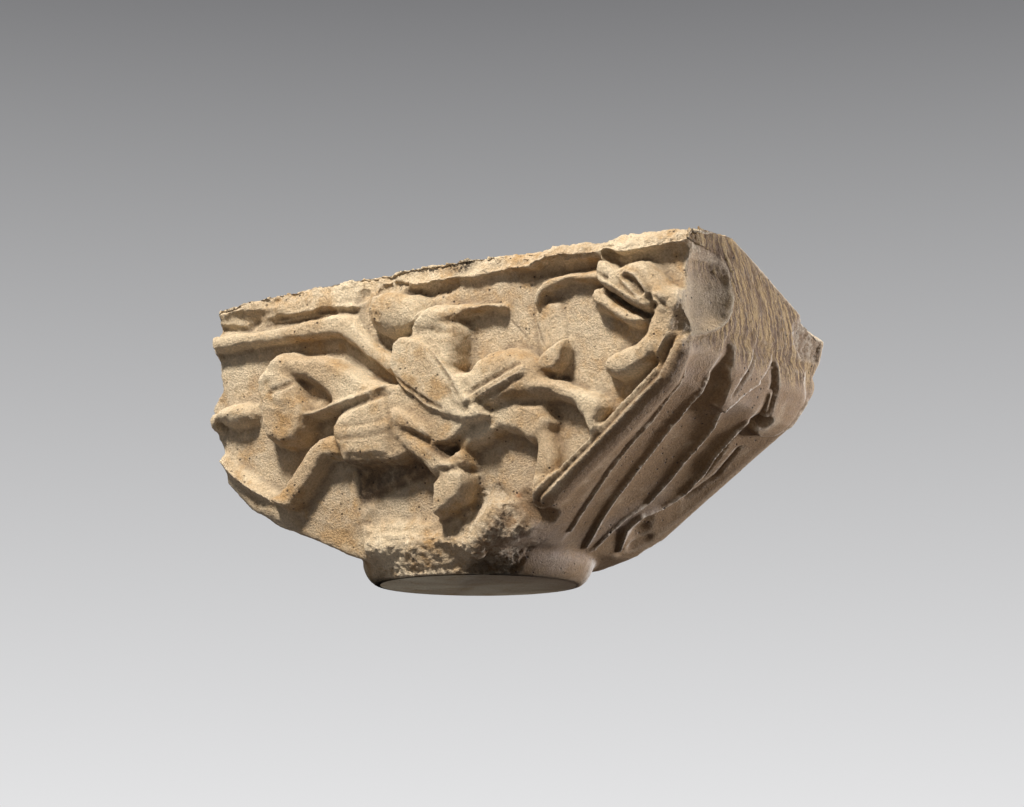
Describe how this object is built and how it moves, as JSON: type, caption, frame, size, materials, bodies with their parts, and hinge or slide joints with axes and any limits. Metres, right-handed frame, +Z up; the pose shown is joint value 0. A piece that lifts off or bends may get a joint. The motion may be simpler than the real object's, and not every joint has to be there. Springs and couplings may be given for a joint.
{
  "type": "carved stone capital",
  "caption": "Worn marble capital with a round neck, leaning relief panels of a galloping horse with a rider and a beast, and a leaf-carved sloping end.",
  "frame": {"origin": "centre of the round neck's underside, where the capital sits on its shaft", "axes": "+Z up, +X along the long side towards the complete sloping end, -Y towards the viewer of the relief with the horse and rider"},
  "size_m": [0.407, 0.2157, 0.211],
  "materials": {
    "marble": "matt weathered marble with a buff to brown patina"
  },
  "bodies": {
    "root": {"capital": "marble"}
  },
  "joints": []
}
